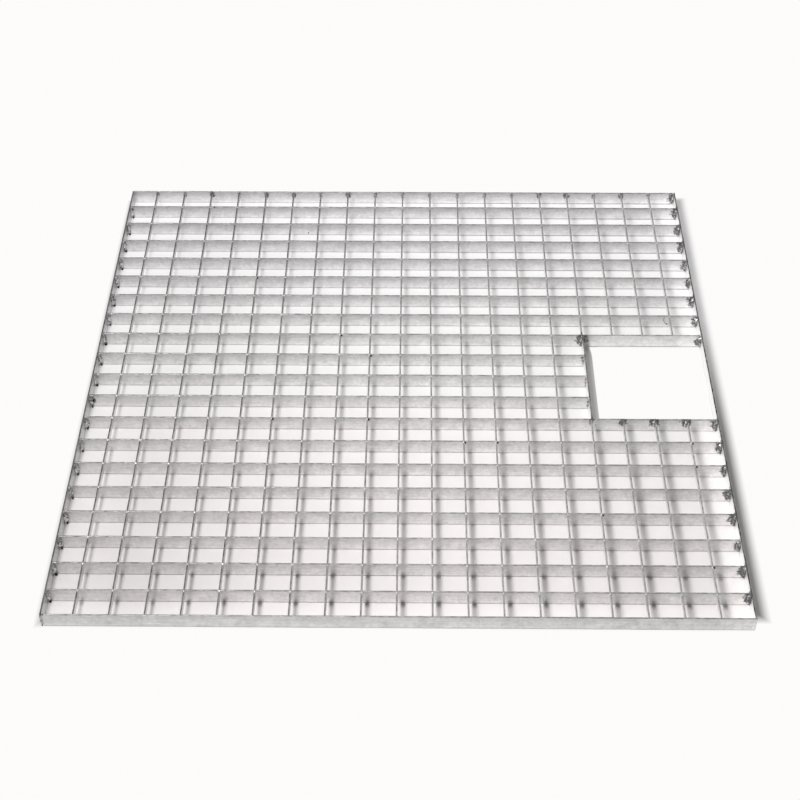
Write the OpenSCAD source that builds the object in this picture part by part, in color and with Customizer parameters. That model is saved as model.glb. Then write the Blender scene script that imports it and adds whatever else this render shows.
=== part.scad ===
// Galvanised steel grating panel: upright bearing bars with shallower cross bars pressed into their
// tops, a flat-bar band around the edge and a banded cut-out against the right-hand edge.
// Millimetres. The panel lies flat: X runs along the bearing bars, Y along the cross bars and Z up.
// The origin is under the middle of the panel, on the plane that it rests on.

/* [Panel] */
// Overall width, along the bearing bars
panel_width = 796; // [650:1:1200]
// Overall depth, along the cross bars
panel_depth = 795; // [550:1:1200]
// Height of the bearing bars and of every band
bar_height = 20; // [14:1:60]

/* [Bearing bars] */
// Thickness of a bearing bar
bearing_thick = 2; // [1.5:0.5:5]
// Distance between the middles of neighbouring bearing bars
bearing_pitch = 40; // [25:1:60]
// Distance from the panel's front face to the middle of the first bearing bar
bearing_start = 37; // [15:1:60]

/* [Cross bars] */
// Thickness of a cross bar
cross_thick = 2; // [1.5:0.5:5]
// Depth of a cross bar, from its top edge to its bottom edge
cross_depth = 10; // [5:1:12]
// How far the cross bars' tops lie below the tops of the bearing bars
cross_drop = 0.5; // [0:0.25:2]
// Distance between the middles of neighbouring cross bars
cross_pitch = 40; // [25:1:60]
// Distance from the panel's left face to the middle of the first cross bar
cross_start = 37; // [15:1:60]

/* [Edge bands] */
// Thickness of the bands around the edge and of the one at the cut-out
band_thick = 2; // [1.5:0.5:5]
// Least distance from a band's outer face to the middle of the last bar before it
last_bar_margin = 12; // [8:1:20]

/* [Cut-out] */
// Number of the bearing bar that borders the cut-out at the front, counted from the front
cutout_front_bar = 8; // [1:1:8]
// Depth of the cut-out, in cells
cutout_cells_deep = 4; // [2:1:4]
// Width of the cut-out up to the right-hand band, in cells
cutout_cells_wide = 4; // [1:1:10]
// How far the cut-out band's middle stands to the right of the cross-bar line that it replaces
cutout_band_shift = 1; // [0:0.5:4]

/* [Welds] */
// Leg of the fillet weld in the corner between a bearing bar and a band
weld_leg = 4; // [2:0.5:6]
// How far those welds stop short of the panel's top and of the plane that it rests on
weld_inset = 1; // [0:0.5:4]
// Leg of the smaller fillet welds at the ends of the cross bars
cross_weld_leg = 2; // [1:0.5:4]

/* [Hidden] */

steel = [0.72, 0.73, 0.73];

// How many bars fit between the first one and the far band
function bar_count(length, start, pitch) = floor((length - last_bar_margin - start) / pitch) + 1;
bearing_count = bar_count(panel_depth, bearing_start, bearing_pitch);
cross_count = bar_count(panel_width, cross_start, cross_pitch);

// Top and bottom of the cross bars
cross_top = bar_height - cross_drop;
cross_bottom = cross_top - cross_depth;

// Middle of a bar, counted from 1 at the front or at the left
function bearing_y(i) = bearing_start + (i - 1) * bearing_pitch;
function cross_x(i) = cross_start + (i - 1) * cross_pitch;

// Inner faces of the four edge bands
inner_left = band_thick;
inner_right = panel_width - band_thick;
inner_front = band_thick;
inner_back = panel_depth - band_thick;

// The cut-out: the bars that border it, the cross-bar line that its band replaces, and its edges
cutout_back_bar = cutout_front_bar + cutout_cells_deep;
cutout_line = cross_count - cutout_cells_wide + 1;
cutout_front_y = bearing_y(cutout_front_bar) + bearing_thick / 2;
cutout_back_y = bearing_y(cutout_back_bar) - bearing_thick / 2;
cutout_band_x = cross_x(cutout_line) + cutout_band_shift - band_thick / 2;

// Moves the front left corner's frame to the middle of the panel
module from_corner() {
    translate([-panel_width / 2, -panel_depth / 2, 0]) children();
}

// An upright flat bar that stands on the resting plane, given by its two opposite corners in plan
module upright_bar(x0, x1, y0, y1) {
    translate([x0, y0, 0]) cube([x1 - x0, y1 - y0, bar_height]);
}

// One bearing bar from the left band to the band at x1, with its welds to both
module bearing_bar(i, x1) {
    upright_bar(inner_left, x1, bearing_y(i) - bearing_thick / 2, bearing_y(i) + bearing_thick / 2);
    bearing_weld(i, inner_left, 1);
    bearing_weld(i, x1, -1);
}

// One cross bar between two places along Y
module cross_bar(i, y0, y1) {
    translate([cross_x(i) - cross_thick / 2, y0, cross_bottom])
        cube([cross_thick, y1 - y0, cross_depth]);
}

// An upright fillet weld in the corner at x and y. It reaches to the right (side 1) or to the
// left (side -1), and to the back (way 1) or to the front (way -1).
module fillet_weld(x, y, side, way, leg, z0, z1) {
    translate([x, y, z0])
        linear_extrude(z1 - z0) polygon([[0, 0], [side * leg, 0], [0, way * leg]]);
}

// The weld on a bearing bar's front face where it meets the band at x
module bearing_weld(i, x, side) {
    fillet_weld(x, bearing_y(i) - bearing_thick / 2, side, -1, weld_leg,
                weld_inset, bar_height - weld_inset);
}

// The two welds beside a cross bar where it runs into the face at y
module cross_welds(i, y, way) {
    for (side = [-1, 1])
        fillet_weld(cross_x(i) + side * cross_thick / 2, y, side, way, cross_weld_leg,
                    cross_bottom, cross_top);
}

// The edge bands go round like a pinwheel: each one covers the end of the next
module front_band() {
    color(steel) from_corner() upright_bar(band_thick, panel_width, 0, band_thick);
}

module right_band() {
    color(steel) from_corner() upright_bar(inner_right, panel_width, band_thick, panel_depth);
}

module back_band() {
    color(steel) from_corner() upright_bar(0, inner_right, inner_back, panel_depth);
}

module left_band() {
    color(steel) from_corner() upright_bar(0, band_thick, 0, inner_back);
}

// The band across the sawn ends of the short bearing bars
module cutout_band() {
    color(steel) from_corner()
        upright_bar(cutout_band_x, cutout_band_x + band_thick, cutout_front_y, cutout_back_y);
}

// Every bar from the front band to the bearing bar in front of the cut-out
module bar_grid_front() {
    color(steel) from_corner() {
        for (i = [1 : cutout_front_bar]) bearing_bar(i, inner_right);
        for (i = [1 : cross_count]) {
            cross_bar(i, inner_front, cutout_front_y);
            cross_welds(i, inner_front, 1);
        }
        for (i = [cutout_line : cross_count])
            cross_welds(i, bearing_y(cutout_front_bar) - bearing_thick / 2, -1);
    }
}

// The short bearing bars beside the cut-out and the cross bars between them
module bar_grid_middle() {
    color(steel) from_corner() {
        for (i = [cutout_front_bar + 1 : cutout_back_bar - 1]) bearing_bar(i, cutout_band_x);
        for (i = [1 : cutout_line - 1]) cross_bar(i, cutout_front_y, cutout_back_y);
    }
}

// Every bar from the bearing bar behind the cut-out to the back band
module bar_grid_back() {
    color(steel) from_corner() {
        for (i = [cutout_back_bar : bearing_count]) bearing_bar(i, inner_right);
        bearing_weld(cutout_back_bar, cutout_band_x, -1);
        for (i = [1 : cross_count]) {
            cross_bar(i, cutout_back_y, inner_back);
            cross_welds(i, inner_back, -1);
        }
    }
}

front_band();
back_band();
left_band();
right_band();
cutout_band();
bar_grid_front();
bar_grid_middle();
bar_grid_back();
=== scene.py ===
"""Looks of a galvanised steel grating panel: its zinc-coated bars, their welds and the studio."""

import math
import random

import bpy
import numpy as np
from mathutils import Matrix, Vector, noise


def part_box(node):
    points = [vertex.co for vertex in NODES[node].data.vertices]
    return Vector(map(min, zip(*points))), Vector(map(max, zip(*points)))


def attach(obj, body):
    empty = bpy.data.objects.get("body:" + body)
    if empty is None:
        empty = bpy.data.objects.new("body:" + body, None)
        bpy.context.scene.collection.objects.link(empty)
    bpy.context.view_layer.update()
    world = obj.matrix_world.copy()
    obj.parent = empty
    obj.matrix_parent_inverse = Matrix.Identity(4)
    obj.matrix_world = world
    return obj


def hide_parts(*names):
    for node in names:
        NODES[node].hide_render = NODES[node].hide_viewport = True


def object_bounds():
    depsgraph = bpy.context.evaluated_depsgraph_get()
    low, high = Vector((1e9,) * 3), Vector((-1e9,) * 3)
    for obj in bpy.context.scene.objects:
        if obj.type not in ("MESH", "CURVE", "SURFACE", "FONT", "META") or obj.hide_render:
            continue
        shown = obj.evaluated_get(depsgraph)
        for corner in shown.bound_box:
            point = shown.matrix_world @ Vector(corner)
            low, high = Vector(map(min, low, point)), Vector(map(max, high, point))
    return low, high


MM = 0.001
BODY = "root"
X, Y, Z = 0, 1, 2

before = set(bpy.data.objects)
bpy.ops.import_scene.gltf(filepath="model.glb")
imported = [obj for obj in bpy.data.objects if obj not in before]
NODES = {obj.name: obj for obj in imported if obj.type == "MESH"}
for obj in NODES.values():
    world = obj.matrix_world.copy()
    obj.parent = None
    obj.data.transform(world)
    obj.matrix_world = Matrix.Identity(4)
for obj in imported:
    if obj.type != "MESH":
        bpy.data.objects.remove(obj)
cad_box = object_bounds()
GRIDS = ("bar_grid_front", "bar_grid_middle", "bar_grid_back")
PANEL_LEFT, PANEL_FRONT, FLOOR_LEVEL = cad_box[0]
PANEL_RIGHT, PANEL_BACK, TOP_LEVEL = cad_box[1]


# ---------------------------------------------------------------- where the bars are, from the frame

# Corners closer than this along an axis are level with each other
LEVEL_WITHIN = 1e-5
# Corners further apart than this belong to different bars
NEXT_BAR = 12 * MM


def corners(node):
    """Every corner of a CAD node, in metres, without repeats."""
    return np.unique(np.round([v.co for v in NODES[node].data.vertices], 6), axis=0)


def bar_sides(node, axis, level):
    """The two sides, along an axis, of each bar that has corners at a height in a CAD node.

    Corners of the welds beside a bar lie outside its own, so each bar's sides are the middle pair.
    """
    points = corners(node)
    places = np.unique(points[np.abs(points[:, Z] - level) < LEVEL_WITHIN][:, axis])
    splits = np.flatnonzero(np.diff(places) > NEXT_BAR) + 1
    groups = np.split(places, splits)
    return [(group[len(group) // 2 - 1], group[len(group) // 2]) for group in groups]


def reach(node, low, high):
    """How far a node reaches along X between two places along Y, at the plane it rests on."""
    points = corners(node)
    resting = points[:, Z] < FLOOR_LEVEL + LEVEL_WITHIN
    between = (points[:, Y] > low - LEVEL_WITHIN) & (points[:, Y] < high + LEVEL_WITHIN)
    places = points[resting & between][:, X]
    return places.min(), places.max()


def cross_levels():
    """Bottom of the cross bars, and the height that their tops are drawn at.

    That is the upper end of the welds, half a millimetre below the tops in the frame.
    """
    heights = np.unique(corners(GRIDS[1])[:, Z])
    inner = heights[(heights > FLOOR_LEVEL + 2 * MM) & (heights < TOP_LEVEL - 0.1 * MM)]
    return inner[0], inner[1]


CROSS_BOTTOM, CROSS_TOP = cross_levels()
INNER_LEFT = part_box("left_band")[1][X]
INNER_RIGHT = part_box("right_band")[0][X]
INNER_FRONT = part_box("front_band")[1][Y]
INNER_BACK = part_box("back_band")[0][Y]
CUTOUT_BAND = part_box("cutout_band")
CUTOUT_BAND_LEFT, CUTOUT_FRONT = CUTOUT_BAND[0][:2]
CUTOUT_BAND_RIGHT, CUTOUT_BACK = CUTOUT_BAND[1][:2]

# One (node, low, high, start, end) for each bearing bar, from the front to the back
BEARING_BARS = [
    (node, low, high, *reach(node, low, high))
    for node in GRIDS
    for low, high in bar_sides(node, Y, FLOOR_LEVEL)
]
CROSS_BARS = bar_sides(GRIDS[0], X, CROSS_BOTTOM)
FULL_CROSS_BARS = len(bar_sides(GRIDS[1], X, CROSS_BOTTOM))
# Middle of the first bar that crosses, and the distance between them, for bars along each axis
CROSSINGS = {
    X: (sum(CROSS_BARS[0]) / 2, CROSS_BARS[1][0] - CROSS_BARS[0][0]),
    Y: (sum(BEARING_BARS[0][1:3]) / 2, BEARING_BARS[1][1] - BEARING_BARS[0][1]),
}


# ---------------------------------------------------------------- camera

CAMERA_AIM = Vector((-0.0006, -0.0478, 0.020))
CAMERA_DISTANCE = 2.0246
CAMERA_AZIMUTH = math.radians(0.689)
CAMERA_ELEVATION = math.radians(43.381)
CAMERA_ROLL = math.radians(-0.194)
CAMERA_LENS = 71.97
CAMERA_SENSOR = 36.0


def add_camera():
    back = Vector((
        math.sin(CAMERA_AZIMUTH) * math.cos(CAMERA_ELEVATION),
        -math.cos(CAMERA_AZIMUTH) * math.cos(CAMERA_ELEVATION),
        math.sin(CAMERA_ELEVATION),
    ))
    data = bpy.data.cameras.new("camera")
    data.lens = CAMERA_LENS
    data.sensor_width = CAMERA_SENSOR
    camera = bpy.data.objects.new("camera", data)
    bpy.context.scene.collection.objects.link(camera)
    camera.location = CAMERA_AIM + back * CAMERA_DISTANCE
    turn = (-back).to_track_quat("-Z", "Y").to_matrix() @ Matrix.Rotation(CAMERA_ROLL, 3, "Z")
    camera.rotation_euler = turn.to_euler()
    bpy.context.scene.camera = camera


add_camera()


# ---------------------------------------------------------------- node trees

def add_node(tree, kind, inputs=None, **settings):
    """A shader node with its settings, and its inputs by name or by place.

    An input that is given a socket is linked to it. Any other value is set on the input.
    """
    made = tree.nodes.new(kind)
    for name, value in settings.items():
        setattr(made, name, value)
    for name, value in (inputs or {}).items():
        if isinstance(value, bpy.types.NodeSocket):
            tree.links.new(value, made.inputs[name])
        else:
            made.inputs[name].default_value = value
    return made


def maths(tree, operation, a, b=0.0, c=0.0):
    made = add_node(tree, "ShaderNodeMath", {0: a, 1: b, 2: c}, operation=operation)
    return made.outputs[0]


def least(tree, value, *others):
    for other in others:
        value = maths(tree, "MINIMUM", value, other)
    return value


def without(tree, level, loss):
    """A level less the share of it that is lost."""
    return maths(tree, "MULTIPLY", level, maths(tree, "SUBTRACT", 1.0, loss))


def within(tree, value, low, high):
    """1 where a value lies between two others, else 0."""
    above = maths(tree, "GREATER_THAN", value, low)
    return maths(tree, "MULTIPLY", above, maths(tree, "LESS_THAN", value, high))


def ramp(tree, value, low, high, to_low=0.0, to_high=1.0, shape="SMOOTHSTEP"):
    """A smooth step of a value from one range to another."""
    made = add_node(tree, "ShaderNodeMapRange", {
        "Value": value,
        "From Min": low,
        "From Max": high,
        "To Min": to_low,
        "To Max": to_high,
    }, interpolation_type=shape)
    return made.outputs["Result"]


def straight_ramp(tree, value, low, high, to_low=0.0, to_high=1.0):
    """A straight line from one range to another, level beyond its ends."""
    return ramp(tree, value, low, high, to_low, to_high, "LINEAR")


def noise_at(tree, place, scale, detail, rough):
    made = add_node(tree, "ShaderNodeTexNoise", {
        "Vector": place,
        "Scale": scale,
        "Detail": detail,
        "Roughness": rough,
    })
    return made.outputs["Fac"]


def squeezed(tree, place, grain, share):
    """Places squeezed along an axis, which draws a pattern out that way."""
    scale = [1.0, 1.0, 1.0]
    scale[grain] = share
    made = add_node(tree, "ShaderNodeMapping", {"Vector": place, "Scale": scale})
    return made.outputs["Vector"]


def coordinates(tree, vector):
    """The outputs X, Y and Z of a vector."""
    return add_node(tree, "ShaderNodeSeparateXYZ", {"Vector": vector}).outputs


def mixed_colour(tree, factor, a, b):
    """A colour between two others. The sockets go by place, because the node's names repeat."""
    return add_node(tree, "ShaderNodeMix", {0: factor, 6: a, 7: b}, data_type="RGBA").outputs[2]


def empty_material(name):
    material = bpy.data.materials.new(name)
    material.use_nodes = True
    material.node_tree.nodes.clear()
    return material, material.node_tree


def finish_metal(tree, colour, metallic, rough, relief, relief_strength, relief_depth):
    """Ends the node tree of a metal with its shader, which has a fine relief."""
    bump = add_node(tree, "ShaderNodeBump", {
        "Height": relief,
        "Strength": relief_strength,
        "Distance": relief_depth,
    })
    shader = add_node(tree, "ShaderNodeBsdfPrincipled", {
        "Base Color": colour,
        "Metallic": metallic,
        "Roughness": rough,
        "Normal": bump.outputs["Normal"],
    })
    add_node(tree, "ShaderNodeOutputMaterial", {"Surface": shader.outputs["BSDF"]})


# ---------------------------------------------------------------- zinc

# Level of the zinc, by the axis that a bar runs along. Bars along Y are set paler: painted light on
# their side faces
ZINC_LEVELS = {X: 0.745, Y: 0.86}
# Of each band: the axis it runs along, its level and how much painted shade darkens its top. The right
# band and the cut-out's band are set paler: painted light on their faces toward the lamp
BANDS = {
    "front_band": (X, 0.66, 0.14),
    "back_band": (X, 0.80, 0.14),
    "left_band": (Y, 0.62, 0.55),
    "right_band": (Y, 0.90, 0.78),
    "cutout_band": (Y, 0.90, 0.62),
}
ZINC_METALLIC = 0.96
ZINC_ROUGHNESS = (0.34, 0.46)
ZINC_RED = 1.010
ZINC_RELIEF = (0.30, 0.3 * MM)

# Noise patterns: scale, detail and roughness of each, and how strongly the zinc's level follows it
STREAKS, STREAK_DEPTH = (700, 3, 0.6), 0.32
CLOUDS, CLOUD_DEPTH = (48, 4, 0.6), 0.38
MOTTLE, MOTTLE_DEPTH = (240, 3, 0.6), 0.30
CRYSTAL_SCALE, CRYSTAL_DEPTH = 130, 0.07
GRIT = (900, 3, 0.6)
# The rolling streaks are thirty times longer than they are wide, the dashes on the tops three times
STREAK_SQUEEZE = 1 / 30
DASH_SQUEEZE = 1 / 3
DASHES = (420, 2, 0.5)
DASH_EDGES = (0.40, 0.62)

# Stretches of the panel are in metres from its middle
FRONT_TO_BACK = (-0.35, 0.35)
# The bars are painted paler at their foot than at their top, most so at the back of the panel: painted
# light from the bright floor below them, and painted shade toward their top
FOOT_PAINTED_LIGHT = (1.10, 1.22)
TOP_PAINTED_SHADE = 0.895
# They have a thin dark line at the foot, painted contact shade where they meet the floor, which is
# darker toward the back right corner
FOOT_LINE = (0.7 * MM, 1.9 * MM)
FOOT_SHADE = 0.42
FOOT_SHADE_BACK_RIGHT = 0.34
FOOT_SHADE_STRETCHES = {X: (-0.20, 0.30), Y: (-0.10, 0.35)}
# Toward the back the bars are painted darker toward their top: painted shade of the shadowed floor that
# their faces mirror
BACK_UPPER_SHADE = 0.13
BACK_STRETCH = (-0.15, 0.35)
# The zinc is also duller toward the front right corner and toward the left
CORNER_DULLING = 0.06
CORNER_STRETCHES = {X: (0.05, 0.30), Y: (-0.10, 0.12)}
LEFT_DULLING = 0.05
LEFT_STRETCH = (-0.30, 0.0)
# The zinc is painted brighter in the last cell before the right band: painted light where the lamp
# reaches the faces there
RIGHT_END_PAINTED_LIGHT = 0.16
RIGHT_END = (0.350, 0.388)
# The faces that look to the left, toward the lamp, are painted paler than the others by this much:
# painted light
LEFT_FACE_PAINTED_LIGHT = 0.13
LEFTWARD = (0.35, 0.85)

# How far up a face looks where a bar's shoulder, and then its top, starts and is full
SHOULDER_UPWARD = (0.10, 0.45)
TOP_UPWARD = (0.72, 0.93)
# How much painted shade darkens the tops on the left and on the right of the panel, by the axis that a
# bar runs along. It stands in for the dark studio that the tops mirror
TOP_SHADE = {X: 0.42, Y: 0.62}
RIGHT_TOP_SHADE = {X: 0.14, Y: 0.30}
TOP_SHADE_STRETCH = (-0.30, 0.15)
# How much darker the worn dashes on the tops are, and the worn dashes and the darker base on the
# shoulders
DASH_WEAR = {X: 0.28, Y: 0.20}
SHOULDER_WEAR = {X: 0.36, Y: 0.10}
SHOULDER_DARKENING = {X: 0.06, Y: 0.14}
# How far from the middle of a crossing the tops keep their level, and start to be darkened
CROSSING_SPARED = (1.2 * MM, 3.2 * MM)
# How much of that darkening is missing at a crossing
CROSSING_SHARE = {X: 0.20, Y: 0.75}

# Burnt zinc: its colour, the noise that makes its edge ragged and the one that mottles it
BURNT = (0.15, 0.15, 0.153, 1.0)
BURNT_RAGGED = (260, 3, 0.6)
BURNT_EDGE = (0.90, 1.10)
BURNT_BLOTCHES = (480, 2, 0.5)
BURNT_BLOTCH_EDGES = (0.34, 0.60)
BURNT_LEAST = 0.62
BURNT_ROUGHER = 0.25


def near_crossing(tree, value, first, pitch, edges=CROSSING_SPARED):
    """1 at the regularly spaced crossings along a bar, and 0 away from them."""
    turns = maths(tree, "MULTIPLY_ADD", value, 1 / pitch, 0.5 - first / pitch)
    away = maths(tree, "ABSOLUTE", maths(tree, "SUBTRACT", maths(tree, "FRACT", turns), 0.5))
    return ramp(tree, maths(tree, "MULTIPLY", away, pitch), *edges, 1.0, 0.0)


def zinc_pattern(tree, place, grain, overall):
    """Level of the zinc by its streaks, clouds, mottle and crystals, and the first two of those."""
    streaks = noise_at(tree, squeezed(tree, place, grain, STREAK_SQUEEZE), *STREAKS)
    clouds = noise_at(tree, place, *CLOUDS)
    mottle = noise_at(tree, place, *MOTTLE)
    cells = add_node(tree, "ShaderNodeTexVoronoi", {
        "Vector": place,
        "Scale": CRYSTAL_SCALE,
        "Randomness": 1.0,
    })
    crystals = add_node(tree, "ShaderNodeSeparateColor", {"Color": cells.outputs["Color"]}).outputs[0]
    patterns = (
        (streaks, STREAK_DEPTH),
        (clouds, CLOUD_DEPTH),
        (mottle, MOTTLE_DEPTH),
        (crystals, CRYSTAL_DEPTH),
    )
    level = overall
    for pattern, depth in patterns:
        level = maths(tree, "MULTIPLY_ADD", maths(tree, "SUBTRACT", pattern, 0.5), depth, level)
    return level, streaks, clouds


def zinc_tone_and_painted_light(tree, spot):
    """How much darker the zinc is by its place on the panel: duller toward the front right corner and
    the left, painted shade toward the top at the back, and painted light in the last cell before the
    right band. Below 0 it is brighter.
    """
    aloft = maths(tree, "MULTIPLY", spot["Z"], BACK_UPPER_SHADE / TOP_LEVEL)
    darker = maths(tree, "MULTIPLY", ramp(tree, spot["Y"], *BACK_STRETCH), aloft)
    rightward = ramp(tree, spot["X"], *CORNER_STRETCHES[X])
    frontward = ramp(tree, spot["Y"], *CORNER_STRETCHES[Y], 1.0, 0.0)
    corner = maths(tree, "MULTIPLY", rightward, frontward)
    darker = maths(tree, "MULTIPLY_ADD", corner, CORNER_DULLING, darker)
    darker = maths(tree, "SUBTRACT", darker, ramp(tree, spot["X"], *RIGHT_END, 0.0, RIGHT_END_PAINTED_LIGHT))
    return maths(tree, "ADD", darker, ramp(tree, spot["X"], *LEFT_STRETCH, LEFT_DULLING, 0.0))


def zinc_painted_height_light(tree, spot):
    """How much paler or darker a bar is painted by the height on it: painted light from the floor at its
    foot, painted shade toward its top.
    """
    foot_light = ramp(tree, spot["Y"], *FRONT_TO_BACK, *FOOT_PAINTED_LIGHT)
    return straight_ramp(tree, spot["Z"], 0.0, TOP_LEVEL, foot_light, TOP_PAINTED_SHADE)


def foot_shade_line(tree, spot):
    """How much painted contact shade darkens a bar in the thin line at its foot."""
    backward = ramp(tree, spot["Y"], *FOOT_SHADE_STRETCHES[Y])
    rightward = ramp(tree, spot["X"], *FOOT_SHADE_STRETCHES[X])
    line_shade = maths(tree, "MULTIPLY", backward, rightward)
    line_shade = maths(tree, "MULTIPLY_ADD", line_shade, FOOT_SHADE_BACK_RIGHT, FOOT_SHADE)
    return maths(tree, "MULTIPLY", line_shade, ramp(tree, spot["Z"], *FOOT_LINE, 1.0, 0.0))


def zinc_shade_and_wear(tree, place, spot, upward, grain, band_shade_and_wear):
    """How much darker the tops and shoulders are: painted shade on the tops, and worn zinc in short
    dashes.

    A band's top is darkened by the same amount all along it, the other bars' tops less at crossings.
    """
    dashes = noise_at(tree, squeezed(tree, place, grain, DASH_SQUEEZE), *DASHES)
    dashes = ramp(tree, dashes, *DASH_EDGES)
    top = ramp(tree, upward, *TOP_UPWARD)
    shoulder = without(tree, ramp(tree, upward, *SHOULDER_UPWARD), top)
    top_shade = band_shade_and_wear or ramp(tree, spot["X"], *TOP_SHADE_STRETCH, TOP_SHADE[grain],
                             RIGHT_TOP_SHADE[grain])
    top_shade_and_wear = maths(tree, "MULTIPLY_ADD", dashes, DASH_WEAR[grain], top_shade)
    shoulder_shade_and_wear = maths(tree, "MULTIPLY_ADD", dashes, SHOULDER_WEAR[grain], SHOULDER_DARKENING[grain])
    shade_and_wear = maths(tree, "MULTIPLY", top, top_shade_and_wear)
    shade_and_wear = maths(tree, "ADD", shade_and_wear, maths(tree, "MULTIPLY", shoulder, shoulder_shade_and_wear))
    if band_shade_and_wear is None:
        crossing = near_crossing(tree, spot["XYZ"[grain]], *CROSSINGS[grain])
        share = maths(tree, "MULTIPLY_ADD", crossing, -CROSSING_SHARE[grain], 1.0)
        shade_and_wear = maths(tree, "MULTIPLY", shade_and_wear, share)
    return shade_and_wear


def burnt_patches(tree, place):
    """How burnt the zinc is: the mesh says where, fine noise makes it ragged and mottled."""
    heat = add_node(tree, "ShaderNodeAttribute", attribute_name="scorch").outputs["Fac"]
    ragged = maths(tree, "ADD", heat, noise_at(tree, place, *BURNT_RAGGED))
    blotches = noise_at(tree, place, *BURNT_BLOTCHES)
    blotches = ramp(tree, blotches, *BURNT_BLOTCH_EDGES, BURNT_LEAST, 1.0)
    return maths(tree, "MULTIPLY", ramp(tree, ragged, *BURNT_EDGE), blotches)


def zinc_material(name, grain, overall, band_shade_and_wear=None):
    """Dull hot-dip galvanised steel, with painted light and shade by place, by height, at the foot, on
    faces toward the lamp and on the tops. The rolling streaks run along the grain axis.
    """
    material, tree = empty_material(name)
    place = add_node(tree, "ShaderNodeTexCoord").outputs["Object"]
    spot = coordinates(tree, place)
    facing = coordinates(tree, add_node(tree, "ShaderNodeNewGeometry").outputs["Normal"])

    level, streaks, clouds = zinc_pattern(tree, place, grain, overall)
    # Painted shade and light go into the level: by place on the panel, by height, in the foot line, on
    # faces toward the lamp and on the tops
    level = without(tree, level, zinc_tone_and_painted_light(tree, spot))
    level = maths(tree, "MULTIPLY", level, zinc_painted_height_light(tree, spot))
    level = without(tree, level, foot_shade_line(tree, spot))
    # Faces toward the lamp get painted light
    leftward = maths(tree, "MULTIPLY", facing["X"], -1.0)
    left_face_light = ramp(tree, leftward, *LEFTWARD, 1.0, 1.0 + LEFT_FACE_PAINTED_LIGHT)
    level = maths(tree, "MULTIPLY", level, left_face_light)
    level = without(tree, level, zinc_shade_and_wear(tree, place, spot, facing["Z"], grain, band_shade_and_wear))
    clean = add_node(tree, "ShaderNodeCombineColor", {
        "Red": maths(tree, "MULTIPLY", level, ZINC_RED),
        "Green": level,
        "Blue": level,
    }).outputs["Color"]

    burnt = burnt_patches(tree, place)
    colour = mixed_colour(tree, burnt, clean, BURNT)
    rough = ramp(tree, clouds, 0.3, 0.7, *ZINC_ROUGHNESS)
    rough = maths(tree, "MULTIPLY_ADD", burnt, BURNT_ROUGHER, rough)
    grit = noise_at(tree, place, *GRIT)
    relief = maths(tree, "MULTIPLY_ADD", streaks, 0.5, maths(tree, "MULTIPLY", grit, 0.5))
    finish_metal(tree, colour, ZINC_METALLIC, rough, relief, *ZINC_RELIEF)
    return material


ZINC = {axis: zinc_material("zinc_along_" + "xy"[axis], axis, ZINC_LEVELS[axis]) for axis in (X, Y)}
BAND_ZINC = {node: zinc_material("zinc_" + node, *look) for node, look in BANDS.items()}


# ---------------------------------------------------------------- weld metal

WELD_METALLIC = 0.85
WELD_ROUGHNESS = (0.60, 0.36)
WELD_RELIEF = (0.4, 0.4 * MM)
WELD_BLOTCHES = (330, 3, 0.6)
WELD_FINE, WELD_FINE_DEPTH = (1300, 2, 0.5), 0.10


def weld_material(name, dark, light, bare):
    """Weld metal under zinc, between a dark and a light level. The bare share of it is light."""
    material, tree = empty_material(name)
    place = add_node(tree, "ShaderNodeTexCoord").outputs["Object"]
    blotches = noise_at(tree, place, *WELD_BLOTCHES)
    patches = ramp(tree, blotches, 0.60 - 0.2 * bare, 0.70 - 0.2 * bare)
    fine = noise_at(tree, place, *WELD_FINE)
    level = maths(tree, "MULTIPLY_ADD", patches, light - dark, dark)
    level = maths(tree, "MULTIPLY_ADD", maths(tree, "SUBTRACT", fine, 0.5), WELD_FINE_DEPTH, level)
    grey = add_node(tree, "ShaderNodeCombineColor", {"Red": level, "Green": level, "Blue": level})
    rough = ramp(tree, patches, 0.0, 1.0, *WELD_ROUGHNESS)
    finish_metal(tree, grey.outputs["Color"], WELD_METALLIC, rough, fine, *WELD_RELIEF)
    return material


WELD_ZINC = weld_material("weld_zinc", 0.26, 0.66, 0.8)
WELD_BURNT = weld_material("weld_burnt", 0.20, 0.68, 0.45)
# Black of the spatter, and of the blobs that paint shadows at the foot of the left welds
SPATTER_AND_SHADOW_BLACK = weld_material("spatter_and_foot_shadow", 0.03, 0.16, 0.0)


# ---------------------------------------------------------------- making bars

# Distance between the rings of points along a bar, and the closer ones within reach of its ends
RING_STEP = 2.5 * MM
END_STEP = 1.25 * MM
END_REACH = 13 * MM
# Rounding of a bar's edges, the flat bit that each one ends in and the points on a tall side
EDGE_RADIUS = 0.7 * MM
EDGE_SUPPORT = 0.2 * MM
EDGE_STEPS = 4
FLANK_POINTS = 3
# Zinc drawn up in a corner: how far it runs along the bar, its rings and how thick it gets
FILLET_REACH = 1.6 * MM
FILLET_PLACES = (0.0, 0.25 * MM, 0.7 * MM, 1.6 * MM)
FILLET_HEIGHT = 0.45 * FILLET_REACH
# Unevenness: how long its waves are, and how far they move the surface
COARSE_RIPPLE = (9 * MM, 0.10 * MM)
COARSE_SQUEEZE = 0.4
FINE_RIPPLE = (3.5 * MM, 0.06 * MM)
SWAY_WAVE = 170 * MM
TOP_RIPPLE = (4 * MM, 0.5 * MM)
# Each bar's noise starts in a place of its own: this step times the sum of its name's letters
NOISE_STEP = Vector((7.1, 3.7, 1.9))
# Without a seed, Blender's noise in three directions is another one in each session
noise.seed_set(41)


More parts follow.
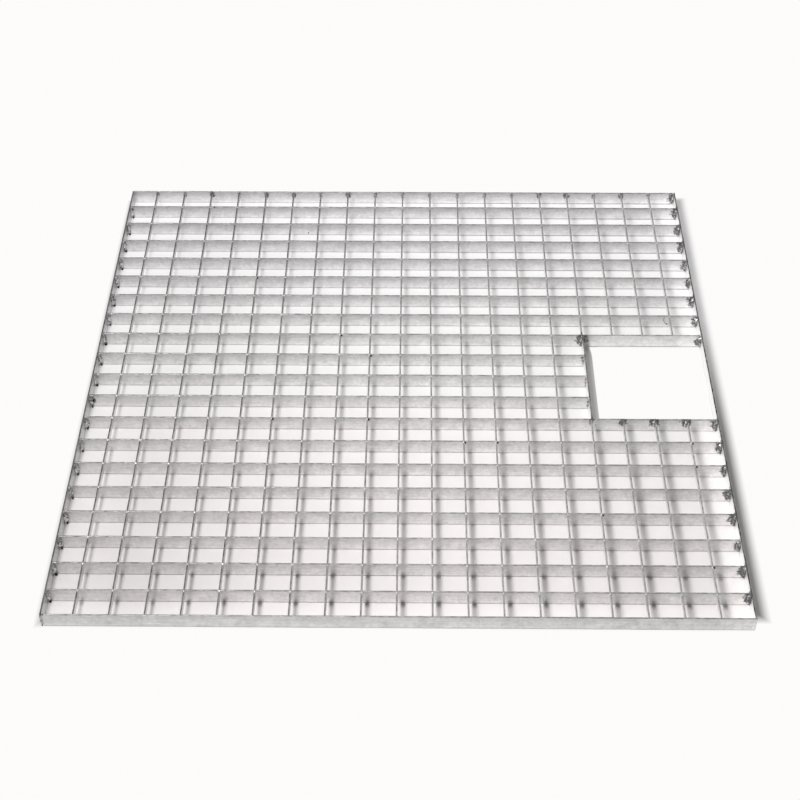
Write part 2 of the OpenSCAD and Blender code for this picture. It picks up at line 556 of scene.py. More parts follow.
def rounded_corner(middle, start):
    """One rounded edge of a section, from an angle on, as points and outward directions."""
    before = np.array([math.cos(start), math.sin(start)])
    after = np.array([-math.sin(start), math.cos(start)])
    points = [middle + before * EDGE_RADIUS - after * EDGE_SUPPORT]
    outward = [before]
    for step in range(EDGE_STEPS):
        angle = start + step * math.pi / 2 / (EDGE_STEPS - 1)
        direction = np.array([math.cos(angle), math.sin(angle)])
        points.append(middle + direction * EDGE_RADIUS)
        outward.append(direction)
    points.append(middle + after * EDGE_RADIUS - before * EDGE_SUPPORT)
    outward.append(after)
    return points, outward


def rounded_section(width, height):
    """Outline of a flat bar's section round its middle, as points and outward directions."""
    half_w = width / 2 - EDGE_RADIUS
    half_h = height / 2 - EDGE_RADIUS
    points, outward = [], []
    for turn, (sx, sy) in enumerate(((1, 1), (-1, 1), (-1, -1), (1, -1))):
        middle = np.array([sx * half_w, sy * half_h])
        more_points, more_outward = rounded_corner(middle, turn * math.pi / 2)
        points += more_points
        outward += more_outward
        if sx != sy:
            # The flank that follows is the bar's tall left or right side, and gets its own points
            for step in range(1, FLANK_POINTS + 1):
                share = 1 - 2 * step / (FLANK_POINTS + 1)
                points.append(np.array([sx * width / 2, sy * share * height / 2]))
                outward.append(more_outward[-1])
    return np.array(points), np.array(outward)


def ring_places(start, end, junctions):
    """Places of the rings along a bar: even steps, closer near its ends and beside each junction."""
    steps = round((end - start - 2 * END_REACH) / RING_STEP)
    inner = np.linspace(start + END_REACH, end - END_REACH, steps + 1)
    near_start = np.arange(start, start + END_REACH, END_STEP)
    near_end = np.arange(end, end - END_REACH, -END_STEP)
    places = set(np.round(np.concatenate([near_start, inner, near_end]), 7))
    for low, high in junctions:
        near = {p for p in places if low - FILLET_REACH < p < high + FILLET_REACH}
        places -= near
        for gap in FILLET_PLACES:
            places |= {round(low - gap, 7), round(high + gap, 7)}
    return np.array(sorted(p for p in places if start <= p <= end))


def fillet_height(places, junctions):
    """How far the zinc in the corners stands out from a bar at each place along it."""
    gap = np.full(len(places), 1.0)
    for low, high in junctions:
        away = np.maximum(np.maximum(low - places, places - high), 0)
        gap = np.minimum(gap, away)
    part = np.clip(1 - gap / FILLET_REACH, 0, 1)
    return FILLET_HEIGHT * part ** 3


def ripple(points, wavelength, phase):
    """Smooth noise, about -1 to 1 in each direction, at an array of points."""
    return np.array([noise.noise_vector(Vector(p) / wavelength + phase) for p in points])


class Bar:
    """A flat bar with rounded, uneven zinc-coated edges, given by its box and the axis it runs along."""

    def __init__(self, name, low, high, axis, junctions, sway=0.25 * MM):
        self.name = name
        self.low = np.array(low)
        self.high = np.array(high)
        self.axis = axis
        self.across = Y if axis == X else X
        self.junctions = junctions
        self.sway = sway

    def rings(self):
        """Rings of points round the bar, from one end to the other."""
        places = ring_places(self.low[self.axis], self.high[self.axis], self.junctions)
        size = self.high - self.low
        middle = (self.high + self.low) / 2
        outline, outward = rounded_section(size[self.across], size[Z])
        fillet = fillet_height(places, self.junctions)[:, None]
        rings = np.zeros((len(places), len(outline), 3))
        rings[:, :, self.axis] = places[:, None]
        rings[:, :, self.across] = middle[self.across] + outline[:, 0] + fillet * outward[:, 0]
        rings[:, :, Z] = middle[Z] + outline[:, 1] + fillet * outward[:, 1]
        return rings

    def roughened(self, rings):
        """The rings with the sway of the bar, the ripple of the zinc and its uneven top edge."""
        phase = NOISE_STEP * sum(map(ord, self.name))
        squeeze = np.ones(3)
        squeeze[self.axis] = COARSE_SQUEEZE
        flat = rings.reshape(-1, 3)
        coarse = ripple(flat * squeeze, COARSE_RIPPLE[0], phase) * COARSE_RIPPLE[1]
        fine = ripple(flat, FINE_RIPPLE[0], phase) * FINE_RIPPLE[1]
        moved = (flat + coarse + fine).reshape(rings.shape)
        spine = rings.mean(axis=1)
        bend = ripple(spine, SWAY_WAVE, phase)[:, 0] * self.sway
        moved[:, :, self.across] += bend[:, None]
        # The top edge is lowered here and there, and with it the upper third of the bar
        lowered = np.abs(ripple(spine, TOP_RIPPLE[0], phase)[:, 1]) * TOP_RIPPLE[1]
        share = (rings[:, :, Z] - self.low[Z]) / (self.high[Z] - self.low[Z])
        moved[:, :, Z] -= lowered[:, None] * np.clip(share * 3 - 2, 0, 1)
        return np.clip(moved, cad_box[0], cad_box[1])


# ---------------------------------------------------------------- welds: where they are

random.seed(41)
STUB_BAR = 8
CROSS_HEIGHT = (CROSS_BOTTOM, CROSS_TOP)
BAR_HEIGHT = (FLOOR_LEVEL + 1.2 * MM, TOP_LEVEL - 1.0 * MM)
# Of each weld: its leg in millimetres, how burnt the zinc round it is, how far in millimetres, and
# how far up its hottest place is as a share of its height. Without that last one, it is random.
LEFT_WELD = (4.5, 0.48, 10)
RIGHT_WELD = (4.8, 0.92, 15)
BACK_RIGHT_WELD = (3.6, 0.90, 14)
CUTOUT_WELD = (4.6, 0.86, 18, 0.75)
JOINT_WELD = (1.4, 0.30, 10, 0.60)
FRONT_WELD = (2.0, 0.30, 4)
BACK_WELD = (1.6, 0.40, 5)
FIRST_STUB_WELD = (1.4, 0.75, 6, 0.80)
STUB_LEFT_WELD = (3.6, 0.95, 13, 0.70)
STUB_RIGHT_WELD = (2.0, 0.85, 8, 0.30)
# The short bearing bars' welds to the cut-out band, by the number of the bar
SHORT_WELDS = {9: (2.2, 0.70, 7, 0.70), 10: (2.2, 0.20, 4, 0.70), 11: (2.2, 0.85, 9, 0.70)}
# The cross bars whose welds to the back band are blacker than the others
BURNT_BACK_WELDS = {
    3: (2.2, 0.75, 8), 5: (2.2, 0.62, 6), 6: (2.2, 0.65, 6), 8: (2.2, 0.75, 8),
    15: (2.2, 0.75, 8), 16: (2.2, 0.75, 8), 18: (2.2, 0.75, 8),
}


def weld(group, at, side, way, height, leg_mm, burn, reach_mm, hottest=None):
    """A weld in the corner at a place in plan, between two heights."""
    middle = height[0] + (height[1] - height[0]) * (hottest or random.uniform(0.45, 0.75))
    return dict(group=group, at=at, side=side, way=way, height=height, middle=middle, burn=burn,
                leg=leg_mm * MM * random.uniform(0.85, 1.15),
                heat_reach=reach_mm * MM * random.uniform(0.85, 1.2))


def bearing_welds():
    """The welds at both ends of each bearing bar and round the cut-out's back, on front faces."""
    found = []
    for number, (_, low, _, start, end) in enumerate(BEARING_BARS, 1):
        found.append(weld("left", (start, low), 1, -1, BAR_HEIGHT, *LEFT_WELD))
        if number in SHORT_WELDS:
            found.append(weld("short", (end, low), -1, -1, BAR_HEIGHT, *SHORT_WELDS[number]))
        else:
            found.append(weld("right", (end, low), -1, -1, BAR_HEIGHT, *RIGHT_WELD))
        if abs(low - CUTOUT_BACK) < MM:
            back_right = (INNER_RIGHT, INNER_BACK)
            found.append(weld("cutout", (CUTOUT_BAND_LEFT, low), -1, -1, BAR_HEIGHT, *CUTOUT_WELD))
            found.append(weld("right", back_right, -1, -1, BAR_HEIGHT, *BACK_RIGHT_WELD))
            found.append(weld("joint", (CUTOUT_BAND_RIGHT, low), 1, -1, BAR_HEIGHT, *JOINT_WELD))
    return found


def cross_welds():
    """The welds beside the ends of the cross bars: at the front and back bands and at the cut-out."""
    found = []
    stub_face = BEARING_BARS[STUB_BAR - 1][1]
    for number, (low, high) in enumerate(CROSS_BARS, 1):
        for side, x in ((-1, low), (1, high)):
            found.append(weld("front", (x, INNER_FRONT), side, 1, CROSS_HEIGHT, *FRONT_WELD))
            if number in BURNT_BACK_WELDS:
                group, look = "back_burnt", BURNT_BACK_WELDS[number]
            else:
                group, look = "back", BACK_WELD
            found.append(weld(group, (x, INNER_BACK), side, -1, CROSS_HEIGHT, *look))
        if number > FULL_CROSS_BARS:
            on_left, on_right = STUB_LEFT_WELD, STUB_RIGHT_WELD
            if number == FULL_CROSS_BARS + 1:
                on_left = on_right = FIRST_STUB_WELD
            found.append(weld("stub", (low, stub_face), -1, -1, CROSS_HEIGHT, *on_left))
            found.append(weld("stub", (high, stub_face), 1, -1, CROSS_HEIGHT, *on_right))
    return found


WELDS = bearing_welds() + cross_welds()

# Burnt or dirty places that have no weld of their own: place, how burnt, and how far
SCORCHES = [
    ((PANEL_LEFT + 2 * MM, PANEL_FRONT + 1 * MM, TOP_LEVEL), 1.0, 5 * MM),
    ((PANEL_LEFT + 2 * MM, PANEL_FRONT, FLOOR_LEVEL), 0.70, 4 * MM),
    ((CUTOUT_BAND_LEFT + 1 * MM, CUTOUT_FRONT, TOP_LEVEL), 1.0, 7 * MM),
    ((INNER_LEFT + 4 * MM, BEARING_BARS[8][1], FLOOR_LEVEL + 11 * MM), 1.0, 8 * MM),
]
# Places further from a bar than this can't burn it, and burnt patches are a little taller than wide
SCORCH_LIMIT = 20 * MM
SCORCH_SHAPE = (1, 1, 0.8)


def scorch_at(points):
    """How burnt the zinc is at each point, from 0 to 1, by how near a weld it is."""
    heat = np.zeros(len(points))
    low = points.min(axis=0) - SCORCH_LIMIT
    high = points.max(axis=0) + SCORCH_LIMIT
    round_welds = [((*seam["at"], seam["middle"]), seam["burn"], seam["heat_reach"]) for seam in WELDS]
    for centre, burn, reached in round_welds + SCORCHES:
        x, y, _ = centre
        if low[X] < x < high[X] and low[Y] < y < high[Y]:
            away = np.linalg.norm((points - np.array(centre)) * SCORCH_SHAPE, axis=1)
            heat = np.maximum(heat, burn * np.clip(1 - away / reached, 0, 1))
    return heat


# ---------------------------------------------------------------- the panel's bars

def new_object(name, points, faces, material):
    """A smooth mesh object in the scene."""
    mesh = bpy.data.meshes.new(name)
    mesh.from_pydata(points, [], faces)
    mesh.shade_smooth()
    mesh.materials.append(material)
    made = bpy.data.objects.new(name, mesh)
    bpy.context.scene.collection.objects.link(made)
    return made


def hand_over(piece, replaced):
    """Puts a piece on the body it rides, and hides the CAD nodes it is shown for."""
    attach(piece, BODY)
    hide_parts(*replaced)


def tube_faces(count, around, first, flipped):
    """Faces of a closed tube through rings whose points start at a number. Its ends come last."""
    faces = []
    for i in range(count - 1):
        for j in range(around):
            k = (j + 1) % around
            ring = first + i * around
            after = ring + around
            quad = (ring + j, ring + k, after + k, after + j)
            faces.append(quad[::-1] if flipped else quad)
    bottom = tuple(first + j for j in range(around))
    top = tuple(first + (count - 1) * around + j for j in range(around))
    faces.append(bottom if flipped else bottom[::-1])
    faces.append(top[::-1] if flipped else top)
    return faces


def add_bar(bar, replaced, material=None):
    """A bar as a closed tube with flat ends, which also says how burnt it is at each point."""
    rings = bar.roughened(bar.rings())
    points = rings.reshape(-1, 3)
    faces = tube_faces(*rings.shape[:2], 0, bar.axis == Y)
    piece = new_object(bar.name, points.tolist(), faces, material or ZINC[bar.axis])
    for end in piece.data.polygons[-2:]:
        end.use_smooth = False
    layer = piece.data.attributes.new("scorch", "FLOAT", "POINT")
    layer.data.foreach_set("value", scorch_at(points).astype(np.float32))
    hand_over(piece, replaced)


def add_bearing_bars():
    for number, (node, low, high, start, end) in enumerate(BEARING_BARS, 1):
        name = f"bearing_bar_{number:02d}"
        junctions = [(start, start), (end, end)]
        bar = Bar(name, (start, low, FLOOR_LEVEL), (end, high, TOP_LEVEL), X, junctions)
        add_bar(bar, [node])


def add_cross_bars():
    for number, (low, high) in enumerate(CROSS_BARS, 1):
        stretches = [("", INNER_FRONT, INNER_BACK, GRIDS)]
        if number > FULL_CROSS_BARS:
            stretches = [
                ("_front", INNER_FRONT, CUTOUT_FRONT, GRIDS[:1]),
                ("_back", CUTOUT_BACK, INNER_BACK, GRIDS[2:]),
            ]
        for suffix, start, end, replaced in stretches:
            name = f"cross_bar_{number:02d}{suffix}"
            junctions = [(a, b) for _, a, b, _, _ in BEARING_BARS if start - MM < a and b < end + MM]
            junctions += [(start, start), (end, end)]
            bar = Bar(name, (low, start, CROSS_BOTTOM), (high, end, CROSS_TOP), Y, junctions)
            add_bar(bar, replaced)


def add_bands():
    for node, (axis, _, _) in BANDS.items():
        low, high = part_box(node)
        add_bar(Bar(node + "_bar", low, high, axis, [], sway=0.0), [node], BAND_ZINC[node])


add_bearing_bars()
add_cross_bars()
add_bands()


# ---------------------------------------------------------------- welds and spatter

BEAD_RINGS = 12
BEAD_ARC = 7
# How deep a bead's back is sunk into the bars, and how far its foot spreads as a share of the leg
BEAD_SUNK = 0.3 * MM
BEAD_FOOT = 0.75
# How thin a bead gets at its ends, how hollow its face is, and how lumpy, in lumps of so many mm
BEAD_TIP = 0.25
BEAD_HOLLOW = 0.16
BEAD_LUMPY = 0.38
BEAD_LUMP = 3.0
DROPLET_ROWS = 5
DROPLET_AROUND = 8


def bead(seam):
    """Rings of points up one weld: a lumpy rounded corner, with its back sunk into the two bars."""
    low, high = seam["height"]
    x, y = seam["at"]
    rings = []
    for step in range(BEAD_RINGS):
        share = step / (BEAD_RINGS - 1)
        z = low + (high - low) * share
        taper = max(BEAD_TIP, 1 - abs(2 * share - 1) ** 4) * seam["leg"]
        corner = [(-BEAD_SUNK, -BEAD_SUNK), (BEAD_FOOT * taper, -BEAD_SUNK)]
        for turn in range(BEAD_ARC):
            angle = turn * math.pi / 2 / (BEAD_ARC - 1)
            lump = noise.noise(Vector((x / MM + angle * 2, y / MM, z / MM)) / BEAD_LUMP)
            away = taper * (1 - BEAD_HOLLOW * math.sin(2 * angle)) * (1 + BEAD_LUMPY * lump)
            corner.append((away * math.cos(angle), away * math.sin(angle)))
        corner.append((-BEAD_SUNK, BEAD_FOOT * taper))
        rings.append([(x + seam["side"] * u, y + seam["way"] * v, z) for u, v in corner])
    return np.array(rings)


def add_piece(name, points, faces, material, replaced):
    """A small piece that stays inside the CAD model's box."""
    inside = np.clip(points, cad_box[0], cad_box[1])
    hand_over(new_object(name, inside.tolist(), faces, material), replaced)


def add_welds(group, material, replaced):
    """All the welds of a group, as one piece."""
    points, faces = [], []
    for seam in WELDS:
        if seam["group"] == group:
            rings = bead(seam)
            flipped = seam["side"] * seam["way"] < 0
            faces += tube_faces(*rings.shape[:2], len(points), flipped)
            points += rings.reshape(-1, 3).tolist()
    add_piece(f"welds_{group}", points, faces, material, replaced)


def droplet_points():
    """Points of a small uneven ball of radius 1, row by row from its bottom to its top."""
    points = [(0, 0, -1)]
    for row in range(1, DROPLET_ROWS):
        tilt = math.pi * row / DROPLET_ROWS - math.pi / 2
        for turn in range(DROPLET_AROUND):
            angle = 2 * math.pi * turn / DROPLET_AROUND
            out = random.uniform(0.85, 1.15) * math.cos(tilt)
            points.append((out * math.cos(angle), out * math.sin(angle), math.sin(tilt)))
    points.append((0, 0, 1))
    return np.array(points)


def droplet_faces(first):
    """Faces of a droplet whose points start at a number."""
    last_row = first + 1 + (DROPLET_ROWS - 2) * DROPLET_AROUND
    top = last_row + DROPLET_AROUND
    faces = []
    for turn in range(DROPLET_AROUND):
        after = (turn + 1) % DROPLET_AROUND
        faces.append((first, first + 1 + after, first + 1 + turn))
        for low in range(first + 1, last_row, DROPLET_AROUND):
            high = low + DROPLET_AROUND
            faces.append((low + turn, low + after, high + after, high + turn))
        faces.append((last_row + turn, last_row + after, top))
    return faces


def add_droplets(name, spots, material, replaced):
    """Droplets as one piece, from the middle of each and its radius along each axis."""
    points, faces = [], []
    for centre, radii in spots:
        faces += droplet_faces(len(points))
        points += (droplet_points() * radii + centre).tolist()
    add_piece(name, points, faces, material, replaced)


# Where the dark blob at the foot of a left-hand weld lies from the weld's corner: a painted shadow in
# the hollow under the weld
FOOT_SHADOW_OFFSET = (2.4 * MM, -1.8 * MM, 1.2 * MM)
# Crossings with a burnt droplet in their corner: number of the cross bar, number of the bearing bar
CROSSING_SPOTS = (
    (5, 15), (8, 12), (9, 11), (6, 8), (9, 8), (13, 7), (12, 7), (19, 7), (19, 6), (16, 4), (19, 2),
)
# Droplets on front faces: number of the bearing bar, then place along X, height and radius in mm.
# The last seven lie in a curl beside the right band
FACE_SPOTS = (
    (18, -136, 4, 1.1), (19, -274, 19, 1.2), (9, -391.6, 11, 1.9), (8, -391.8, 8, 1.3),
    (13, 352.4, 17, 0.6), (13, 351.5, 15, 0.6), (13, 351.6, 13, 0.6), (13, 352.2, 11, 0.6),
    (13, 353.2, 9, 0.6), (13, 354.6, 7.5, 0.6), (13, 356.5, 6, 1.2),
)
# Droplets on the left band's inner face: place along Y, height and radius in mm
LEFT_BAND_SPOTS = ((-160, 7, 1.3), (-85, 3, 1.3), (-37, 7, 1.2))


def foot_shadow_blobs():
    """Dark blobs at the foot of each weld at the left band: painted shadows in the hollow under the
    weld.
    """
    spots = []
    for _, low, _, start, _ in BEARING_BARS:
        along, before, above = FOOT_SHADOW_OFFSET
        centre = (start + along, low + before, FLOOR_LEVEL + above)
        spots.append((centre, (random.uniform(1.1, 2.0) * MM, 1.4 * MM, 1.1 * MM)))
    return spots


def stub_spots():
    """Fine spatter beside the welds on the bearing bar in front of the cut-out."""
    spots = []
    for seam in WELDS:
        if seam["group"] == "stub":
            x = seam["at"][0] + seam["side"] * random.uniform(3, 9) * MM
            z = random.uniform(4, 18) * MM
            radius = random.uniform(0.35, 0.8) * MM
            spots.append(((x, seam["at"][1], z), (radius, 0.35 * MM, radius)))
    return spots


def crossing_spots():
    """Dark droplets just under the top of a bearing bar, in the corner with a cross bar."""
    spots = []
    for cross_number, bearing_number in CROSSING_SPOTS:
        side = CROSS_BARS[cross_number - 1][1]
        face = BEARING_BARS[bearing_number - 1][1]
        spots.append(((side, face, TOP_LEVEL - 2.2 * MM), (1.9 * MM, 1.4 * MM, 1.9 * MM)))
    return spots


def face_spots():
    """Dark droplets on the bars' front faces and on the left band's inner face."""
    spots = []
    for number, x, z, radius in FACE_SPOTS:
        low = BEARING_BARS[number - 1][1]
        spots.append(((x * MM, low, z * MM), (radius * MM, 0.4 * MM, radius * MM)))
    stub_face = BEARING_BARS[STUB_BAR - 1][1]
    beside_band = (CUTOUT_BAND_LEFT + 1 * MM, stub_face, TOP_LEVEL - 1.8 * MM)
    spots.append((beside_band, (1.5 * MM, 0.5 * MM, 1.2 * MM)))
    for y, z, radius in LEFT_BAND_SPOTS:
        spots.append(((INNER_LEFT, y * MM, z * MM), (0.4 * MM, radius * MM, radius * MM)))
    return spots + stub_spots() + crossing_spots()


# The groups of welds: what each is made of, and the CAD nodes it is shown for
WELD_GROUPS = {
    "left": (WELD_ZINC, GRIDS),
    "right": (WELD_BURNT, (GRIDS[0], GRIDS[2])),
    "cutout": (WELD_BURNT, GRIDS[2:]),
    "joint": (WELD_BURNT, GRIDS[2:]),
    "short": (WELD_ZINC, GRIDS[1:2]),
    "front": (WELD_ZINC, GRIDS[:1]),
    "back": (WELD_ZINC, GRIDS[2:]),
    "back_burnt": (WELD_BURNT, GRIDS[2:]),
    "stub": (WELD_BURNT, GRIDS[:1]),
}
for weld_group, (weld_metal, shown_for) in WELD_GROUPS.items():
    add_welds(weld_group, weld_metal, shown_for)
# Dark blobs that paint the shadow at the foot of the left welds
add_droplets("weld_foot_shadows", foot_shadow_blobs(), SPATTER_AND_SHADOW_BLACK, GRIDS)
add_droplets("weld_spatter", face_spots(), SPATTER_AND_SHADOW_BLACK, GRIDS)


# ---------------------------------------------------------------- lamp

KEY_PLACE = (-0.545, -0.60, 1.15)
KEY_AIM = Vector((1.5, 0.69, 0))
KEY_POWER = 9.7
KEY_SIZE = 0.36
KEY_BEAM = math.radians(130)


def add_key():
    lamp = bpy.data.lights.new("key", "AREA")
    lamp.shape = "RECTANGLE"
    lamp.energy = KEY_POWER
    lamp.size = KEY_SIZE
    lamp.size_y = KEY_SIZE
    lamp.spread = KEY_BEAM
    holder = bpy.data.objects.new("key", lamp)
    bpy.context.scene.collection.objects.link(holder)
    holder.location = KEY_PLACE
    holder.rotation_euler = (KEY_AIM - holder.location).to_track_quat("-Z", "Y").to_euler()


# ---------------------------------------------------------------- floor

FLOOR_HALF = 6.0
FLOOR_SUNK = 0.2 * MM
# Off the panel the floor is plain white: its level and tint, and how far out from each side the
# fade to it starts and ends
FLOOR_WHITE = 0.97
WHITE_TINT = (1.018, 1.0, 0.992, 1.0)
FADES = {
    "left": (0.0, 0.010),
    "right": (0.0085, 0.0215),
    "front": (-0.010, 0.003),
    "back": (-0.004, 0.004),
}
# The right band's shadow is moved back by this much against the panel's corners
SHADOW_RUN = 12 * MM

# Under the panel it is paper: its level and tint at the front and at the back
PAPER_LEVELS = (0.83, 0.60)
PAPER_STRETCH = (-0.3, 0.3)
PAPER_TINT_FRONT = (1.024, 0.985, 0.976, 1.0)
PAPER_TINT_BACK = (1.006, 0.997, 0.999, 1.0)
# The paper glows, painted light that stands in for the studio's light on it: how much in the middle, and
# what is added by Y, its square, and X times Y
GLOW = 0.212
GLOW_BACK = 0.665
GLOW_BEND = 0.24
GLOW_TWIST = -0.15
# More painted glow near three of the panel's sides: how much, and how far in it starts and is full
SIDE_GLOWS = {
    "left": (0.12, 0.100, 0.015),
    "right": (0.12, 0.045, 0.020),
    "front": (0.12, 0.055, 0.020),
}
# The share of it that there is at the front and at the back
SIDE_GLOW_SHARES = (1.0, 0.5)

# Painted shade: share of its level that the paper loses beside the left band, in the strip beside the
# cut-out's band, and beside the right band toward the front and toward the back, where it gains some as
# painted light
SHADE_LEFT = 0.26
SHADE_IN_CUTOUT = 0.16
SHADE_RIGHT = (0.47, -0.58)
SHADE_RIGHT_STRETCH = (-0.12, 0.20)
# How far in under the right band, and under the cut-out's, the shade beside it starts
SHADE_INSET = 1 * MM
# The cut-out's floor is plain white, outside a strip beside its band. The strip is a little
# narrower where it starts at the back, and its outer half is a little whiter
SHADED_STRIP = 10.2 * MM
STRIP_BACK_SHARE = 0.82
STRIP_BACK_STRETCH = 20 * MM
STRIP_SOFT = 1.5 * MM
STRIP_EDGE = 0.20

# Painted shade in the corners on the paper at a bearing bar's foot, where a cross bar's shadow meets it:
# how dark it is and how far it reaches in the front rows and behind them, and how wide it is
CORNER_DARK = (0.68, 0.16)
CORNER_REACH = (9 * MM, 3 * MM)
CORNER_ROWS = (-0.370, -0.265)
CORNER_WIDTH = (0.8 * MM, 4.2 * MM)
# They are weaker on the left
CORNER_LEFT_SHARE = 0.5
CORNER_LEFT_STRETCH = (-0.35, -0.10)


def in_cutout_strip(tree, across, along):
    """1 beside the cut-out's band, as far as twice the width of its strip, else 0."""
    start = CUTOUT_BAND_RIGHT - SHADE_INSET
    beside_band = within(tree, across, start, start + 2 * SHADED_STRIP)
    return maths(tree, "MULTIPLY", beside_band, within(tree, along, CUTOUT_FRONT, CUTOUT_BACK))


def shaded(tree, across, along):
    """How open the floor is, 0 beside the bands and else 1, and how much painted shade darkens the paper
    there.
    """
    right = maths(tree, "GREATER_THAN", across, PANEL_RIGHT - SHADE_INSET)
    left = maths(tree, "LESS_THAN", across, PANEL_LEFT)
    strip = in_cutout_strip(tree, across, along)
    beside = maths(tree, "ADD", maths(tree, "ADD", right, left), strip)
    on_right = ramp(tree, along, *SHADE_RIGHT_STRETCH, *SHADE_RIGHT)
    shade = maths(tree, "MULTIPLY", right, on_right)
    shade = maths(tree, "MULTIPLY_ADD", left, SHADE_LEFT, shade)
    shade = maths(tree, "MULTIPLY_ADD", strip, SHADE_IN_CUTOUT, shade)
    return maths(tree, "SUBTRACT", 1.0, beside), shade


def dark_corners(tree, across, along):
    """How much painted shade darkens the paper at the foot of the bearing bars, inside the cross bars'
    shadows.
    """
    first, pitch = CROSSINGS[X]
    height = (CROSS_BOTTOM + CROSS_TOP) / 2
    # The lamp's rays throw the cross bars' places apart on the floor
    thrown_first = first + height * (first - KEY_PLACE[X]) / KEY_PLACE[Z]
    thrown_pitch = pitch * (1 + height / KEY_PLACE[Z])
    column = near_crossing(tree, across, thrown_first, thrown_pitch, CORNER_WIDTH)
    pitch = CROSSINGS[Y][1]
    turns = maths(tree, "MULTIPLY_ADD", along, -1 / pitch, BEARING_BARS[0][1] / pitch)
    before_bar = maths(tree, "MULTIPLY", maths(tree, "FRACT", turns), pitch)
    reached = ramp(tree, along, *CORNER_ROWS, *CORNER_REACH)
    near_bar = ramp(tree, before_bar, 0.0, reached, 1.0, 0.0)
    by_row = ramp(tree, along, *CORNER_ROWS, *CORNER_DARK)
    dark = maths(tree, "MULTIPLY", by_row,
                 ramp(tree, across, *CORNER_LEFT_STRETCH, CORNER_LEFT_SHARE, 1.0))
    return maths(tree, "MULTIPLY", dark, maths(tree, "MULTIPLY", column, near_bar))


def floor_glow(tree, across, along):
    """The paper's own glow, painted light: stronger toward the back and near the panel's other three
    sides.
    """
    bend = maths(tree, "MULTIPLY_ADD", along, GLOW_BEND, GLOW_BACK)
    glow = maths(tree, "MULTIPLY_ADD", bend, along, GLOW)
    glow = maths(tree, "MULTIPLY_ADD", maths(tree, "MULTIPLY", across, along), GLOW_TWIST, glow)
    glow = maths(tree, "MAXIMUM", glow, 0.0)
    inward = {
        "left": maths(tree, "SUBTRACT", across, PANEL_LEFT),
        "right": maths(tree, "SUBTRACT", PANEL_RIGHT, across),
        "front": maths(tree, "SUBTRACT", along, PANEL_FRONT),
    }
    share = ramp(tree, along, *FRONT_TO_BACK, *SIDE_GLOW_SHARES)
    for side, distance in inward.items():
        strength, start, full = SIDE_GLOWS[side]
        more = ramp(tree, distance, full, start, strength, 0.0)
        glow = maths(tree, "MULTIPLY_ADD", more, share, glow)
    return glow


def white_off_panel(tree, across, along):
    """How plain white the floor is by how far it lies off the panel."""
    sides = {
        "left": maths(tree, "SUBTRACT", PANEL_LEFT, across),
        "right": maths(tree, "SUBTRACT", across, PANEL_RIGHT),
        "front": maths(tree, "SUBTRACT", PANEL_FRONT, along),
        "back": maths(tree, "SUBTRACT", along, PANEL_BACK),
    }
    right = maths(tree, "GREATER_THAN", across, PANEL_RIGHT - SHADE_INSET)
    sides["back"] = maths(tree, "MULTIPLY_ADD", right, -SHADOW_RUN, sides["back"])
    sides["front"] = maths(tree, "MULTIPLY_ADD", right, SHADOW_RUN, sides["front"])
    white = 0.0
    for side, distance in sides.items():
        white = maths(tree, "MAXIMUM", straight_ramp(tree, distance, *FADES[side]), white)
    return white


def white_in_cutout(tree, across, along):
    """How plain white the floor is inside the cut-out."""
    from_band = maths(tree, "SUBTRACT", across, CUTOUT_BAND_RIGHT)
    to_back = maths(tree, "SUBTRACT", CUTOUT_BACK, along)
    strip = ramp(tree, to_back, 0.0, STRIP_BACK_STRETCH,
                 STRIP_BACK_SHARE * SHADED_STRIP, SHADED_STRIP)
    inside = least(
        tree,
        maths(tree, "SUBTRACT", from_band, strip),
        maths(tree, "SUBTRACT", along, CUTOUT_FRONT),
        to_back,
        maths(tree, "SUBTRACT", INNER_RIGHT, across),
    )
    edge = ramp(tree, from_band, 0.5 * SHADED_STRIP, SHADED_STRIP, 0.0, STRIP_EDGE)
    edge = maths(tree, "MULTIPLY", edge, in_cutout_strip(tree, across, along))
    return maths(tree, "MAXIMUM", straight_ramp(tree, inside, 0.0, STRIP_SOFT), edge)


def floor_paper(tree, across, along, looked_at):
    """Shader of the paper under the panel: lit by the lamp, darkened by painted shade and glowing by
    itself with painted light.
    """
    open_floor, shade = shaded(tree, across, along)
    corner = maths(tree, "MULTIPLY", dark_corners(tree, across, along), open_floor)
    level = straight_ramp(tree, along, *PAPER_STRETCH, *PAPER_LEVELS)
    level = without(tree, without(tree, level, shade), corner)
    glow = maths(tree, "MULTIPLY", floor_glow(tree, across, along), open_floor)
    glow = maths(tree, "MULTIPLY", without(tree, glow, corner), looked_at)
    nearness = ramp(tree, along, *FRONT_TO_BACK)
    tint = mixed_colour(tree, nearness, PAPER_TINT_FRONT, PAPER_TINT_BACK)
    colour = add_node(tree, "ShaderNodeVectorMath", {"Vector": tint, "Scale": level}, operation="SCALE")
    matt = add_node(tree, "ShaderNodeBsdfDiffuse", {"Color": colour.outputs["Vector"]})
    glowing = add_node(tree, "ShaderNodeEmission", {"Color": tint, "Strength": glow})
    lit = add_node(tree, "ShaderNodeAddShader", {
        0: matt.outputs["BSDF"],
        1: glowing.outputs["Emission"],
    })
    return lit.outputs["Shader"]


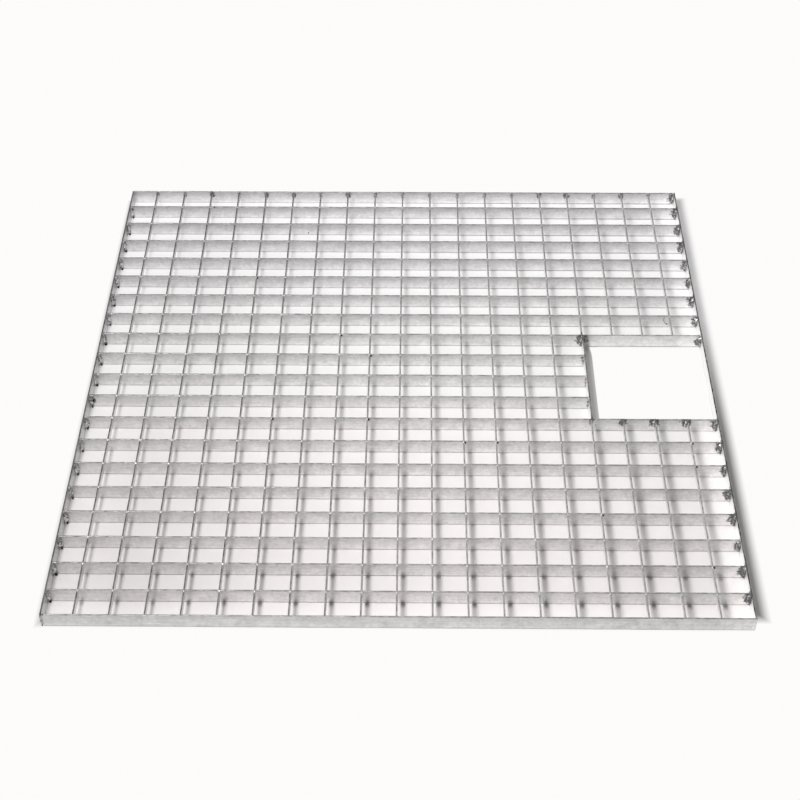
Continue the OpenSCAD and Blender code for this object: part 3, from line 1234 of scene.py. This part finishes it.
def floor_material():
    """Paper under the panel and plain white round it, to the camera and in reflections.

    To all other light the whole floor is matt paper that doesn't glow.
    """
    material, tree = empty_material("floor")
    path = add_node(tree, "ShaderNodeLightPath").outputs
    looked_at = maths(tree, "MAXIMUM", path["Is Camera Ray"], path["Is Glossy Ray"])
    place = coordinates(tree, add_node(tree, "ShaderNodeNewGeometry").outputs["Position"])
    across, along = place["X"], place["Y"]
    away = maths(tree, "MAXIMUM", white_in_cutout(tree, across, along),
                 white_off_panel(tree, across, along))
    white = add_node(tree, "ShaderNodeEmission", {"Color": WHITE_TINT, "Strength": FLOOR_WHITE})
    floor_shader = add_node(tree, "ShaderNodeMixShader", {
        0: maths(tree, "MULTIPLY", away, looked_at),
        1: floor_paper(tree, across, along, looked_at),
        2: white.outputs["Emission"],
    })
    add_node(tree, "ShaderNodeOutputMaterial", {"Surface": floor_shader.outputs["Shader"]})
    return material


def add_floor():
    half = FLOOR_HALF
    outline = [(-half, -half, 0), (half, -half, 0), (half, half, 0), (-half, half, 0)]
    floor = new_object("floor", outline, [(0, 1, 2, 3)], floor_material())
    floor.location.z = -FLOOR_SUNK


# ---------------------------------------------------------------- studio

# The studio's light is dim near the horizon, even overhead, and has one brighter panel at the back
HORIZON_LIGHT = 0.12
ZENITH_LIGHT = 0.42
OVERHEAD = (0.0, 0.65)
PANEL_LIGHT = 0.62
PANEL_DIRECTION = (0.29, 0.63, 0.72)
PANEL_EDGE = (0.78, 0.95)


def add_world():
    world = bpy.data.worlds.new("studio")
    bpy.context.scene.world = world
    world.use_nodes = True
    tree = world.node_tree
    direction = add_node(tree, "ShaderNodeTexCoord").outputs["Generated"]
    height = coordinates(tree, direction)["Z"]
    overhead = ramp(tree, height, *OVERHEAD, HORIZON_LIGHT, ZENITH_LIGHT)
    toward = add_node(tree, "ShaderNodeVectorMath", {0: direction, 1: PANEL_DIRECTION},
                      operation="DOT_PRODUCT")
    panel = ramp(tree, toward.outputs["Value"], *PANEL_EDGE, 0.0, PANEL_LIGHT)
    light = maths(tree, "ADD", overhead, panel)
    # Seen straight by the camera, the studio is the same plain white as the floor
    seen = add_node(tree, "ShaderNodeLightPath").outputs["Is Camera Ray"]
    plain = maths(tree, "MULTIPLY", seen, FLOOR_WHITE)
    light = maths(tree, "ADD", without(tree, light, seen), plain)
    background = tree.nodes["Background"]
    background.inputs["Color"].default_value = (1, 1, 1, 1)
    tree.links.new(light, background.inputs["Strength"])


add_floor()
add_world()
add_key()

bpy.context.scene.view_settings.view_transform = "Standard"
